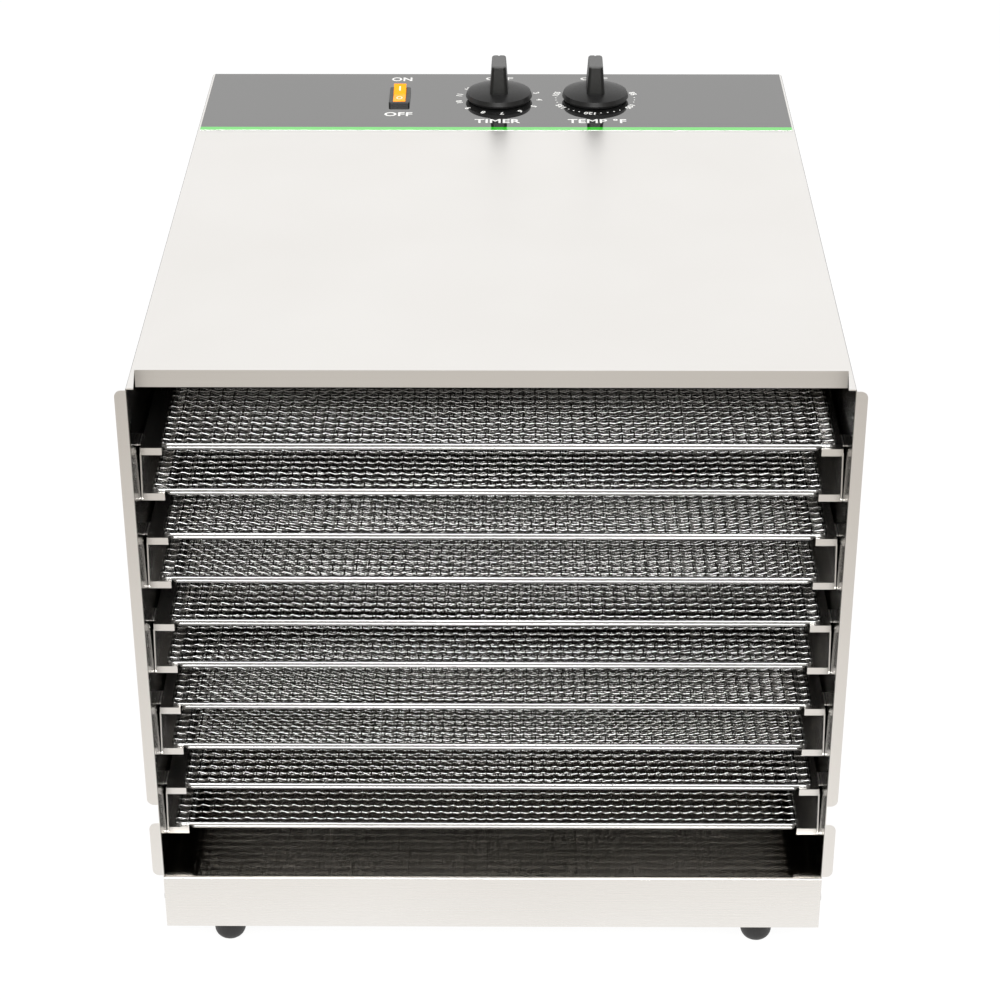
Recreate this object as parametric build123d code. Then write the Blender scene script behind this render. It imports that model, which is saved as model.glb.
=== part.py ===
from build123d import *
import math
import os

# A ten-tray cabinet food dehydrator with its front open. Millimetres. X is to the right, -Y is the
# open front and +Z is up. The origin is on the surface it stands on, at the middle of its footprint.

# Driving dimensions: the cabinet.
BODY_W = 434.0
BODY_D = 525.0
BODY_H = 402.5
FOOT_H = 22.0
SHEET = 0.8
TRAY_COUNT = 10
TRAY_PITCH = 31.75
CHAMBER_D = 416.0

FRONT = -BODY_D / 2
REAR = BODY_D / 2
BASE_Z = FOOT_H
TOP_Z = BASE_Z + BODY_H
WALL = BODY_W / 2
WALL_IN = WALL - SHEET
CEILING = TOP_Z - SHEET
BAFFLE_Y = FRONT + CHAMBER_D

# Outer cover: its bends, the recessed lip under the top's front edge and the door flanges.
BEND_R = 1.6
LIP_SETBACK = 24.3
LIP_H = 11.5
LIP_HEM_R = 0.9
CORNER_STRIP_W = (5.2, 2.6)
FLANGE_W = 6.7
FLANGE_R = 4.5
UPPER_FLANGE = (99.0, 401.0)
LOWER_FLANGE = (42.0, 84.0)
HOOK_SIZE = (1.6, 14.0, 0.9)
HOOK_SETBACK = 31.0
HOOK_DROP = 1.0
SIDE_SCREW_R = 2.0
SIDE_SCREW_HEAD = (3.8, 2.4)
SIDE_SCREW_L = 6.0
SIDE_SCREW_DOME_R = 1.4
CROSS_SLOT = (2.6, 0.5, 1.0)
SIDE_SCREW_HEIGHTS = (90.0, 220.0, 350.0)
RIVET_R = 1.6
RIVET_HEAD = (3.2, 1.3)
RIVET_DOME_R = 1.1
RIVET_L = 3.5
RIVET_H = 20.0

# Base pan and the polished floor over it.
BASE_H = 40.1
FLOOR_T = 0.8
FLOOR_Z = BASE_Z + BASE_H + FLOOR_T
PAN_SHEET = 1.0
FOOT_FLANGE_D = 44.0
SIDE_FLANGE_W = 12.0

# Feet and their fixings.
FOOT_R = 10.75
FOOT_X = 177.5
FOOT_INSET = 21.0
FOOT_FLAT_R = 7.0
FOOT_RECESS_R = 5.2
FOOT_RECESS_H = 9.0
FOOT_BULGE = ((9.4, 2.6), (10.4, 6.6))
FOOT_SCREW_R = 2.5
FOOT_SCREW_HEAD = (4.6, 3.2)
FOOT_SCREW_SLOT = (6.0, 1.0, 2.0)
FOOT_SCREW_PROUD = 6.0
FOOT_NUT = (4.6, 4.0)
FOOT_HOLE_R = 2.6

# Rails: channels whose two raised shelves carry a tray each, with the shelves' front ends closed.
RAIL_T = 0.9
RAIL_SETBACK = 24.0
RAIL_END = 412.0
SHELF_REACH = (201.4, 214.6)
SHELF_H = 4.9
SHELF_CORNER_R = 1.5
WEB_GAP = (0.3, 1.2)
WEB_SETBACK = 0.8
TOP_RAIL_Z = BASE_Z + 349.3

# Trays: an upper ring that lies on the shelves and a lower ring that fits between them.
RING_HALF_W = 207.0
LOWER_RING_HALF_W = 200.9
RING_CORNER_R = 5.0
LOWER_CORNER_R = 3.0
TRAY_D = 384.0
TRAY_SETBACK = 25.4
TRAY_SHIFTS = (4.2, -2.7, 1.9, -1.9, 2.1, -1.5, -0.4, -2.3, 3.3, -4.2)
ROD_R = 1.2
ROD_SPACING = 2.2
MESH_SHEET = 0.25

# Rear panel, baffle and fan.
PANEL_RECESS = 3.0
PANEL_FLANGE = 12.0
FAN_Z = BASE_Z + 205.0
FAN_HOLE_R = 92.0
FAN_R = 80.0
VENT_SLOT = (34.0, 4.0)
VENT_PITCH = (40.0, 8.0)
VENT_ROWS = 15
VENT_COLUMNS = 4
BAFFLE_T = 1.0
GUARD_WIRE_R = 1.1
GUARD_RINGS = (18.0, 34.0, 50.0, 66.0, 82.0, 97.0)
GUARD_SPOKES = 4
ELEMENT_TUBE_R = 3.25
ELEMENT_RING_R = 74.0
ELEMENT_Y = BAFFLE_Y + 13.0
FAN_Y = (BAFFLE_Y + 21.0, BAFFLE_Y + 43.0)
STRAP_Y = BAFFLE_Y + 50.0
STRAP_REACH = 104.0
STRAP_W = 26.0
STRAP_T = 1.5
MOTOR_D = 34.0
MOTOR_SIZE = (64.0, 58.0)
FAN_SHAFT_R = 2.5
FAN_BLADES = 5
MOTOR_CORNER_R = 4.0
MOTOR_CAP_R = 20.0
MOTOR_CAP_H = 8.0
COIL_HALF = (22.0, 12.0)
COIL_INSET = 3.0
COIL_EDGE_R = 2.0
STRAP_TOE = 14.0
STRAP_HOLE_R = 5.0
SHAFT_INSET = 3.0
SHAFT_END_GAP = 6.0
FAN_HUB_R = 14.0
BLADE_SIZE = (30.0, 1.6, 68.0)
BLADE_CENTRE_R = 46.0
BLADE_PITCH = 32.0
ELEMENT_GAP = 16.0
ELEMENT_TAIL = 34.0
CLIP_ANGLES = (200.0, 270.0, 340.0)
CLIP_REACH = 24.0
CLIP_HALF = (3.0, 5.0)
CLIP_T = 1.2
AIR_SLOT = (60.0, 6.0)
AIR_SLOT_X = (140.0, 156.0, 172.0)
AIR_SLOT_RISE = 110.0
INLET_X = 150.0
INLET_Z = BASE_Z + 75.0
INLET_CUTOUT = (14.0, 12.5)
INLET_FLANGE = (20.0, 14.0, 2.6)
INLET_BODY = (13.9, 11.9, 22.0)
INLET_WELL = (12.2, 8.2, 14.0)
INLET_CORNER_R = 4.0
INLET_PINS = ((-7.0, -2.0), (7.0, -2.0), (0.0, 3.0))
PIN_HALF = (1.0, 2.4)
PIN_TIP = 2.0
BLOCK_X = (60.0, 120.0)
BLOCK_SIZE = (18.0, 16.0)
BLOCK_SETBACK = 40.0
BLOCK_HOLES = (69.0, 83.0, 97.0, 111.0)
BLOCK_HOLE = (3.0, 6.0)
CUTOUT_X = -60.0
CUTOUT_Z = FAN_Z + 118.0
CUTOUT_DISC = (8.0, 10.0)
CUTOUT_EARS = (16.0, 5.0, 1.0)
WIRE_R = 1.4
CAPILLARY_RUN = 8.0
CAPILLARY_END = 19.0
BULB_Z = TOP_Z - 16.0
BULB_X = (20.0, 100.0)
BULB_R = 3.0
BULB_Y = BAFFLE_Y - 6.0
CAPILLARY_R = 0.8

# Controls on the top, measured from the rear edge and the middle.
CONTROL_Y = REAR - 53.2
TIMER_X = 1.8
THERMOSTAT_X = 73.5
ROCKER_X = -72.2
OVERLAY_D = 114.8
OVERLAY_T = 0.3
OVERLAY_EDGE = 0.4
OVERLAY_Z = TOP_Z + OVERLAY_T
SHAFT_R = 3.0
SHAFT_BORE_R = 3.05
BUSHING_R = 4.75
KNOB_R = 24.7
KNOB_GAP = 1.2
KNOB_UNDERCUT = 1.4
KNOB_WIDEST_Z = 3.2
KNOB_RIM = (23.6, 6.2)
KNOB_SHOULDER_R = 16.0
KNOB_HUB_R = 8.0
KNOB_DOME_Z = 8.6
GRIP_BASE = (13.8, 29.0, 3.0)
GRIP_TOP = (10.3, 26.0, 2.4)
GRIP_TOP_Z = 29.2
GRIP_EDGE_R = 1.5
GRIP_OFFSET = 2.4
POINTER_NOTCH = (1.7, 4.0)
SHAFT_ENDS = (-12.0, 18.0)
SHAFT_BORE = (4.0, 18.0)
BUSHING_H = 2.0
BODY_CORNER_R = 3.0
TIMER_BODY = (50.0, 46.0)
THERMOSTAT_BODY = (38.0, 34.0)
ROCKER_Y = REAR - 51.2
BEZEL_SIZE = (15.5, 32.5, 2.8)
BEZEL_CORNER_R = 1.5
BEZEL_EDGE_R = 0.6
BUTTON_R = 13.9
BUTTON_W = 9.0
BUTTON_CREST = 3.0
BUTTON_TIP_Y = 12.6
BUTTON_FOOT = (12.2, -6.0)
BUTTON_EDGE_R = 0.6
BUTTON_GAP = 0.3
PIVOT_R = 1.0
PIVOT_DROP = 3.0
PIVOT_STUB = 1.1
ROCKER_TILT = 10.0
ROCKER_WELL_DEPTH = 15.0
ROCKER_WALL = (1.5, 1.3)
CONTROL_BODY_H = 38.0
ROCKER_BODY_H = 24.0


def slab(x, y, z):
    """A box between the two values given for each axis."""
    size = [max(pair) - min(pair) for pair in (x, y, z)]
    middle = [sum(pair) / 2 for pair in (x, y, z)]
    return Pos(*middle) * Box(*size)


def rod(radius, start, end):
    """A round bar between two points."""
    run = Vector(*end) - Vector(*start)
    plane = Plane(origin=start, z_dir=run)
    return extrude(plane * Circle(radius), run.length)


def mirrored(shape):
    """The same shape on the other side of the cabinet."""
    return shape.mirror(Plane.YZ)


def solids(shapes):
    """The separate solids of several shapes, kept apart in one compound."""
    return Compound([piece for shape in shapes for piece in shape.solids()])


def save(name, shape):
    export_step(shape, f"parts/{name}.step")


def rail_level(tray):
    """Top of the rail flange that carries a tray, counted from 0 at the top."""
    return TOP_RAIL_Z - tray * TRAY_PITCH


# ---------------------------------------------------------------- cabinet

def arch(half_w, top, radius, depth):
    """A block with two rounded upper edges, from the base up, as deep as the pair says."""
    height = top - BASE_Z
    outline = Pos(0, height / 2) * Rectangle(2 * half_w, height)
    outline = fillet(outline.vertices().group_by(Axis.Y)[-1], radius)
    face = Plane(origin=(0, depth[1], BASE_Z), x_dir=(1, 0, 0), z_dir=(0, -1, 0)) * outline
    return extrude(face, depth[1] - depth[0])


def door_flange(low, high):
    """One outward flange on the right wall's front edge, with rounded outer corners."""
    blade = slab((WALL_IN, WALL + FLANGE_W), (FRONT, FRONT + SHEET), (BASE_Z + low, BASE_Z + high))
    corners = blade.edges().filter_by(Axis.Y).group_by(Axis.X)[-1]
    return fillet(corners, FLANGE_R)


def rail_hooks():
    """The tabs on the right wall that each rail's shelf hangs on."""
    reach, length, thickness = HOOK_SIZE
    x = (WALL_IN - reach, WALL_IN + SHEET / 2)
    y = (FRONT + HOOK_SETBACK, FRONT + HOOK_SETBACK + length)
    hooks = []
    for tray in range(0, TRAY_COUNT, 2):
        z = rail_level(tray) - HOOK_DROP
        hooks.append(slab(x, y, (z - thickness, z)))
    return hooks


def side_screw_points():
    """Where the rear panel's side screws sit on the right wall, as Y and Z."""
    y = REAR - PANEL_RECESS - PANEL_FLANGE / 2
    return [(y, BASE_Z + height) for height in SIDE_SCREW_HEIGHTS]


def base_rivet_points():
    """Where the cover is riveted to the base pan, as Y and Z on the right wall."""
    return [(y, BASE_Z + RIVET_H) for y in (FRONT + 8.0, 0.0, REAR - 30.0)]


def outer_cover():
    shell = arch(WALL, TOP_Z, BEND_R, (FRONT, REAR))
    shell -= arch(WALL_IN, CEILING, BEND_R - SHEET, (FRONT - 1, REAR + 1))
    front_in, lip_in = (WALL - width for width in CORNER_STRIP_W)
    lip_y = FRONT + LIP_SETBACK
    corners = [(-front_in, FRONT - 1), (front_in, FRONT - 1), (lip_in, lip_y), (-lip_in, lip_y)]
    opening = Polyline(*corners, close=True)
    shell -= extrude(Plane.XY.offset(TOP_Z - 2) * make_face(opening), 3)
    shell -= slab((-WALL - 1, WALL + 1), (FRONT - 1, FRONT + PAN_SHEET), (BASE_Z - 1, BASE_Z + BASE_H))
    shell += slab((-lip_in, lip_in), (lip_y, lip_y + SHEET), (TOP_Z - LIP_H, TOP_Z - SHEET / 2))
    hem_y = lip_y + LIP_HEM_R
    hem_z = TOP_Z - LIP_H + LIP_HEM_R
    shell += rod(LIP_HEM_R, (-lip_in, hem_y, hem_z), (lip_in, hem_y, hem_z))
    for piece in [door_flange(*UPPER_FLANGE), door_flange(*LOWER_FLANGE)] + rail_hooks():
        shell += piece
        shell += mirrored(piece)
    for x in (TIMER_X, THERMOSTAT_X):
        shell -= Pos(x, CONTROL_Y, TOP_Z) * Cylinder(BUSHING_R, 4)
    shell -= slab(*rocker_cutout(), (TOP_Z - 4, TOP_Z + 1))
    for points, radius in ((side_screw_points(), SIDE_SCREW_R), (base_rivet_points(), RIVET_R)):
        for y, z in points:
            shell -= rod(radius, (-WALL - 1, y, z), (WALL + 1, y, z))
    return shell


def base_pan():
    top = BASE_Z + BASE_H
    back = REAR - PANEL_RECESS
    front_in = FRONT + PAN_SHEET
    pan = slab((-WALL_IN, WALL_IN), (front_in, back), (top - PAN_SHEET, top))
    pan += slab((-WALL, WALL), (FRONT, front_in), (BASE_Z, top))
    pan += slab((-WALL_IN, WALL_IN), (back - PAN_SHEET, back), (BASE_Z, top))
    pan += slab((-WALL_IN, WALL_IN), (front_in, FRONT + FOOT_FLANGE_D), (BASE_Z, BASE_Z + PAN_SHEET))
    pan += slab((-WALL_IN, WALL_IN), (back - FOOT_FLANGE_D, back), (BASE_Z, BASE_Z + PAN_SHEET))
    for side in (-1, 1):
        wall = (side * WALL_IN, side * (WALL_IN - PAN_SHEET))
        flange = (side * WALL_IN, side * (WALL_IN - SIDE_FLANGE_W))
        pan += slab(wall, (front_in, back), (BASE_Z, top))
        pan += slab(flange, (front_in, back), (BASE_Z, BASE_Z + PAN_SHEET))
    for x, y in foot_points():
        pan -= Pos(x, y, BASE_Z) * Cylinder(FOOT_HOLE_R, 4)
    for y, z in base_rivet_points():
        pan -= rod(RIVET_R, (-WALL - 1, y, z), (WALL + 1, y, z))
    edge = pan.edges().filter_by(Axis.X).group_by(Axis.Z)[-1].sort_by(Axis.Y)[0]
    return fillet(edge, PAN_SHEET * 0.9)


def floor_liner():
    lift = BASE_Z + BASE_H
    plate = slab((-WALL_IN, WALL_IN), (FRONT + 0.5, BAFFLE_Y), (lift, lift + FLOOR_T))
    edge = plate.edges().filter_by(Axis.X).group_by(Axis.Z)[-1].sort_by(Axis.Y)[0]
    return fillet(edge, FLOOR_T * 0.4)


def foot_points():
    front_y = FRONT + FOOT_INSET
    rear_y = REAR - PANEL_RECESS - FOOT_INSET
    return [(x, y) for x in (-FOOT_X, FOOT_X) for y in (front_y, rear_y)]


def foot():
    """A domed rubber foot with a recess for its screw, standing on a flat ring."""
    with BuildSketch(Plane.XZ) as section:
        with BuildLine():
            Line((0, 0), (FOOT_FLAT_R, 0))
            ThreePointArc((FOOT_FLAT_R, 0), *FOOT_BULGE)
            Polyline(FOOT_BULGE[1], (FOOT_R, FOOT_H), (0, FOOT_H), (0, 0))
        make_face()
    body = revolve(section.sketch, Axis.Z)
    body -= Pos(0, 0, FOOT_RECESS_H / 2) * Cylinder(FOOT_RECESS_R, FOOT_RECESS_H)
    return body - Pos(0, 0, FOOT_H / 2) * Cylinder(FOOT_HOLE_R, FOOT_H)


def foot_screw():
    """A pan-head screw in the foot's recess, and the nut that holds it above the flange."""
    head_r, head_h = FOOT_SCREW_HEAD
    nut_r, nut_h = FOOT_NUT
    seat = FOOT_RECESS_H
    flange_z = FOOT_H + PAN_SHEET
    shank_top = flange_z + FOOT_SCREW_PROUD
    screw = Pos(0, 0, seat - head_h / 2) * Cylinder(head_r, head_h)
    screw -= Pos(0, 0, seat - head_h) * Box(*FOOT_SCREW_SLOT)
    screw += Pos(0, 0, (seat + shank_top) / 2) * Cylinder(FOOT_SCREW_R, shank_top - seat)
    nut = Pos(0, 0, flange_z) * extrude(RegularPolygon(nut_r, 6), nut_h)
    nut -= Pos(0, 0, flange_z) * Cylinder(FOOT_SCREW_R, 3 * nut_h)
    return [screw, nut]


def rear_panel():
    outer_y = REAR - PANEL_RECESS
    bottom = BASE_Z + BASE_H
    plate_z = (bottom, CEILING)
    panel = slab((-WALL_IN, WALL_IN), (outer_y - PAN_SHEET, outer_y), plate_z)
    flange_y = (outer_y - PANEL_FLANGE, outer_y)
    for side in (-1, 1):
        panel += slab((side * WALL_IN, side * (WALL_IN - PAN_SHEET)), flange_y, plate_z)
    panel += slab((-WALL_IN, WALL_IN), flange_y, (bottom, bottom + PAN_SHEET))
    panel += slab((-WALL_IN, WALL_IN), flange_y, (CEILING - PAN_SHEET, CEILING))
    corners = arch(WALL_IN, CEILING, BEND_R - SHEET, (FRONT, REAR))
    panel = panel & corners
    slot = extrude(Plane.XZ * SlotOverall(*VENT_SLOT), 10, both=True)
    for row in range(VENT_ROWS):
        for column in range(VENT_COLUMNS):
            x = (column - (VENT_COLUMNS - 1) / 2) * VENT_PITCH[0]
            z = FAN_Z + (row - (VENT_ROWS - 1) / 2) * VENT_PITCH[1]
            panel -= Pos(x, outer_y, z) * slot
    cut_x, cut_z = INLET_CUTOUT
    panel -= slab((INLET_X - cut_x, INLET_X + cut_x), flange_y, (INLET_Z - cut_z, INLET_Z + cut_z))
    for y, z in side_screw_points():
        panel -= rod(SIDE_SCREW_R, (-WALL - 1, y, z), (WALL + 1, y, z))
    return panel


def side_screws():
    """Pan-head screws through the cover into the rear panel's side flanges."""
    head_r, head_h = SIDE_SCREW_HEAD
    slot_reach, slot_half, slot_depth = CROSS_SLOT
    slot_x = (WALL + head_h - slot_depth, WALL + head_h + slot_depth)
    screws = []
    for y, z in side_screw_points():
        head = rod(head_r, (WALL, y, z), (WALL + head_h, y, z))
        head = fillet(head.edges().group_by(Axis.X)[-1], SIDE_SCREW_DOME_R)
        head -= slab(slot_x, (y - slot_reach, y + slot_reach), (z - slot_half, z + slot_half))
        head -= slab(slot_x, (y - slot_half, y + slot_half), (z - slot_reach, z + slot_reach))
        screw = rod(SIDE_SCREW_R, (WALL - SIDE_SCREW_L, y, z), (WALL, y, z)) + head
        screws += [screw, mirrored(screw)]
    return screws


def base_rivets():
    """Domed rivets that hold the cover to the base pan."""
    head_r, head_h = RIVET_HEAD
    rivets = []
    for y, z in base_rivet_points():
        head = rod(head_r, (WALL, y, z), (WALL + head_h, y, z))
        head = fillet(head.edges().group_by(Axis.X)[-1], RIVET_DOME_R)
        rivet = rod(RIVET_R, (WALL - RIVET_L, y, z), (WALL, y, z)) + head
        rivets += [rivet, mirrored(rivet)]
    return rivets


# ---------------------------------------------------------------- rails and trays

def section_face(points, y):
    """A closed outline given in X and Z, as a face at one Y that looks to the front."""
    plane = Plane(origin=(0, y, 0), x_dir=(1, 0, 0), z_dir=(0, -1, 0))
    return plane * make_face(Polyline(*points, close=True))


def rail(upper_tray):
    """The right-hand channel for one pair of trays: two raised shelves joined by a web."""
    front = FRONT + RAIL_SETBACK
    back = FRONT + RAIL_END
    shelf_in, shelf_out = SHELF_REACH
    low_gap, top_gap = WEB_GAP
    web_low = rail_level(upper_tray + 1) - SHELF_H
    web_top = rail_level(upper_tray) - SHELF_H
    web = [(WALL_IN - low_gap, web_low), (WALL_IN - top_gap, web_top),
           (WALL_IN - top_gap - RAIL_T, web_top), (WALL_IN - low_gap - RAIL_T, web_low)]
    channel = extrude(section_face(web, back), back - front - WEB_SETBACK)
    for tray, gap in ((upper_tray, top_gap), (upper_tray + 1, low_gap)):
        level = rail_level(tray)
        foot_z = level - SHELF_H
        behind = (front + RAIL_T / 2, back)
        channel += slab((shelf_in, shelf_out), behind, (level - RAIL_T, level))
        channel += slab((shelf_out - RAIL_T, shelf_out), behind, (foot_z, level))
        channel += slab((shelf_out - RAIL_T, WALL_IN - gap), (front, back), (foot_z, foot_z + RAIL_T))
        end = slab((shelf_in, shelf_out), (front, front + RAIL_T), (foot_z, level))
        outer_corner = end.edges().filter_by(Axis.Y).group_by(Axis.Z)[-1].sort_by(Axis.X)[-1]
        channel += fillet(outer_corner, SHELF_CORNER_R)
    return channel


def ring_outline(half_w, corner_r, inset):
    """A tray ring's rounded rectangle in plan, at height zero, drawn in by an inset."""
    middle_y = FRONT + TRAY_SETBACK + TRAY_D / 2
    return Pos(0, middle_y) * RectangleRounded(2 * (half_w - inset), TRAY_D - 2 * inset, corner_r - inset)


def ring(half_w, corner_r, z):
    """A round rod bent into a rounded rectangle."""
    path = ring_outline(half_w, corner_r, ROD_R).wire()
    start = (half_w - ROD_R, FRONT + TRAY_SETBACK + TRAY_D / 2, 0)
    section = Plane(origin=start, x_dir=(1, 0, 0), z_dir=(0, 1, 0)) * Circle(ROD_R)
    return Pos(0, 0, z) * sweep(section, path=path, transition=Transition.ROUND)


def tray_frame(tray):
    """Two rings welded together along the front and rear, the upper one set over to its side."""
    upper_z = rail_level(tray) + ROD_R
    upper = Pos(TRAY_SHIFTS[tray], 0, 0) * ring(RING_HALF_W, RING_CORNER_R, upper_z)
    return upper + ring(LOWER_RING_HALF_W, LOWER_CORNER_R, upper_z - ROD_SPACING)


def tray_mesh(tray):
    """The screen as a thin closed sheet that lies on the tray's upper ring."""
    top = rail_level(tray) + 2 * ROD_R
    sheet = extrude(ring_outline(RING_HALF_W, RING_CORNER_R, ROD_R), MESH_SHEET)
    return Pos(TRAY_SHIFTS[tray], 0, top) * sheet


# ---------------------------------------------------------------- fan, heater and wiring

def fan_baffle():
    """The wall between the tray chamber and the rear compartment."""
    back = BAFFLE_Y + BAFFLE_T
    wall = slab((-WALL_IN, WALL_IN), (BAFFLE_Y, back), (FLOOR_Z - FLOOR_T, CEILING))
    for z in ((FLOOR_Z - FLOOR_T, FLOOR_Z - FLOOR_T + BAFFLE_T), (CEILING - BAFFLE_T, CEILING)):
        wall += slab((-WALL_IN, WALL_IN), (BAFFLE_Y, BAFFLE_Y + PANEL_FLANGE), z)
    wall = wall & arch(WALL_IN, CEILING, BEND_R - SHEET, (FRONT, REAR))
    wall -= rod(FAN_HOLE_R, (0, BAFFLE_Y - 2, FAN_Z), (0, BAFFLE_Y + 4, FAN_Z))
    slot = extrude(Plane.XZ * (Rot(0, 0, 90) * SlotOverall(*AIR_SLOT)), 5, both=True)
    for side in (-1, 1):
        for x in AIR_SLOT_X:
            for z in (FAN_Z - AIR_SLOT_RISE, FAN_Z, FAN_Z + AIR_SLOT_RISE):
                wall -= Pos(side * x, BAFFLE_Y, z) * slot
    tube_x = BULB_X[1] + CAPILLARY_RUN
    return wall - rod(CAPILLARY_R + 0.1, (tube_x, BAFFLE_Y - 2, BULB_Z), (tube_x, BAFFLE_Y + 4, BULB_Z))


def fan_guard():
    """Concentric wires and four spokes over the fan opening, on the chamber side."""
    ring_y = BAFFLE_Y - 3 * GUARD_WIRE_R + 0.3
    spoke_y = BAFFLE_Y - GUARD_WIRE_R
    guard = None
    for step in range(GUARD_SPOKES):
        angle = math.radians(45 + step * 90)
        reach = Vector(math.cos(angle), 0, math.sin(angle))
        inner = Vector(0, spoke_y, FAN_Z) + reach * (GUARD_RINGS[0] - 1)
        outer = Vector(0, spoke_y, FAN_Z) + reach * GUARD_RINGS[-1]
        spoke = rod(GUARD_WIRE_R, tuple(inner), tuple(outer))
        guard = spoke if guard is None else guard + spoke
    for radius in GUARD_RINGS:
        plane = Plane(origin=(0, ring_y, FAN_Z), x_dir=(1, 0, 0), z_dir=(0, 1, 0))
        guard += plane * Torus(radius, GUARD_WIRE_R)
    return guard


def fan_blade():
    """A hub with pitched blades."""
    front, back = FAN_Y
    middle = (front + back) / 2
    wheel = rod(FAN_HUB_R, (0, front, FAN_Z), (0, back, FAN_Z))
    blade = Pos(0, 0, BLADE_CENTRE_R) * Rot(0, 0, BLADE_PITCH) * Box(*BLADE_SIZE)
    for step in range(FAN_BLADES):
        wheel += Pos(0, middle, FAN_Z) * Rot(0, 360 * step / FAN_BLADES, 0) * blade
    wheel = wheel & rod(FAN_R, (0, front, FAN_Z), (0, back, FAN_Z))
    return wheel - rod(FAN_SHAFT_R, (0, front + SHAFT_INSET, FAN_Z), (0, back + 1, FAN_Z))


def fan_shaft():
    motor_back = STRAP_Y + STRAP_T + MOTOR_D
    return rod(FAN_SHAFT_R, (0, FAN_Y[0] + SHAFT_INSET, FAN_Z), (0, motor_back - SHAFT_END_GAP, FAN_Z))


def motor_bracket():
    """A strap across the opening that carries the motor, with its ends turned to the baffle."""
    baffle_back = BAFFLE_Y + BAFFLE_T
    z = (FAN_Z - STRAP_W / 2, FAN_Z + STRAP_W / 2)
    strap = slab((-STRAP_REACH, STRAP_REACH), (STRAP_Y, STRAP_Y + STRAP_T), z)
    for side in (-1, 1):
        leg = (side * STRAP_REACH, side * (STRAP_REACH - STRAP_T))
        strap += slab(leg, (baffle_back, STRAP_Y + STRAP_T), z)
        toe = (side * STRAP_REACH, side * (STRAP_REACH + STRAP_TOE))
        strap += slab(toe, (baffle_back, baffle_back + STRAP_T), z)
    return strap - rod(STRAP_HOLE_R, (0, STRAP_Y - 2, FAN_Z), (0, STRAP_Y + 4, FAN_Z))


def fan_motor():
    """A shaded-pole motor: laminations, coil and end caps round the shaft."""
    y0 = STRAP_Y + STRAP_T
    y1 = y0 + MOTOR_D
    width, height = MOTOR_SIZE
    coil_x, coil_z = COIL_HALF
    low = FAN_Z - height / 2
    stack_y = (y0 + MOTOR_CAP_H, y1 - MOTOR_CAP_H)
    stack = slab((-width / 2, width / 2), stack_y, (low, low + height))
    stack = fillet(stack.edges().filter_by(Axis.Y), MOTOR_CORNER_R)
    stack += rod(MOTOR_CAP_R, (0, y0, FAN_Z), (0, y1, FAN_Z))
    coil = slab((-coil_x, coil_x), (y0 + COIL_INSET, y1 - COIL_INSET), (low - coil_z, low + coil_z))
    stack += fillet(coil.edges(), COIL_EDGE_R)
    return stack - rod(FAN_SHAFT_R + 0.05, (0, y0 - 1, FAN_Z), (0, y1 - SHAFT_END_GAP, FAN_Z))


def heating_element():
    """A sheathed element bent to an open ring, its two ends turned up beside each other."""
    gap = math.radians(ELEMENT_GAP)
    ends = []
    for side in (-1, 1):
        angle = math.pi / 2 + side * gap
        ends.append((ELEMENT_RING_R * math.cos(angle), ELEMENT_RING_R * math.sin(angle)))
    plane = Plane(origin=(0, ELEMENT_Y, FAN_Z), x_dir=(1, 0, 0), z_dir=(0, -1, 0))
    path = plane * ThreePointArc(ends[0], (0, -ELEMENT_RING_R), ends[1])
    section = Plane(origin=path @ 0, z_dir=path % 0) * Circle(ELEMENT_TUBE_R)
    loop = sweep(section, path=path)
    for at in (path @ 0, path @ 1):
        loop += Pos(*at) * Sphere(ELEMENT_TUBE_R)
        loop += rod(ELEMENT_TUBE_R, tuple(at), (at.X, at.Y, FAN_Z + FAN_R + ELEMENT_TAIL))
    return loop


def element_clips():
    """Clips on the baffle that hold the element's ring."""
    y0 = BAFFLE_Y + BAFFLE_T
    half_w, half_h = CLIP_HALF
    arm_y = ELEMENT_Y - ELEMENT_TUBE_R - CLIP_T - y0
    clip = slab((-half_w, half_w), (0, arm_y + CLIP_T), (-half_h, half_h))
    clip += slab((-CLIP_REACH, half_w), (arm_y, arm_y + CLIP_T), (-half_h, half_h))
    clips = []
    for angle in CLIP_ANGLES:
        turn = math.radians(angle)
        reach = ELEMENT_RING_R + CLIP_REACH
        at = Pos(reach * math.cos(turn), y0, FAN_Z + reach * math.sin(turn))
        clips.append(at * Rot(0, -angle, 0) * clip)
    return clips


def inlet_block(half_x, half_z, y):
    """A box centred on the mains inlet."""
    return slab((INLET_X - half_x, INLET_X + half_x), y, (INLET_Z - half_z, INLET_Z + half_z))


def power_inlet():
    """A three-pin appliance inlet, let into the rear panel."""
    outer_y = REAR - PANEL_RECESS
    flange_x, flange_z, flange_t = INLET_FLANGE
    body_x, body_z, body_d = INLET_BODY
    well_x, well_z, well_d = INLET_WELL
    flange = inlet_block(flange_x, flange_z, (outer_y, outer_y + flange_t))
    flange = fillet(flange.edges().filter_by(Axis.Y), INLET_CORNER_R)
    body = inlet_block(body_x, body_z, (outer_y - body_d, outer_y))
    well = inlet_block(well_x, well_z, (outer_y - well_d, outer_y + 2 * flange_t))
    inlet = flange + body - fillet(well.edges().filter_by(Axis.Y), INLET_CORNER_R - 1)
    for dx, dz in INLET_PINS:
        inlet += Pos(dx, 0, dz) * inlet_block(*PIN_HALF, (outer_y - well_d - 1, outer_y - PIN_TIP))
    return inlet


def terminal_block():
    """A row of screw terminals on the base pan, behind the baffle."""
    depth, height = BLOCK_SIZE
    hole_r, hole_depth = BLOCK_HOLE
    z0 = BASE_Z + BASE_H
    y0 = BAFFLE_Y + BLOCK_SETBACK
    block = slab(BLOCK_X, (y0, y0 + depth), (z0, z0 + height))
    for x in BLOCK_HOLES:
        block -= Pos(x, y0 + depth / 2, z0 + height) * Cylinder(hole_r, 2 * hole_depth)
    return block


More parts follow.
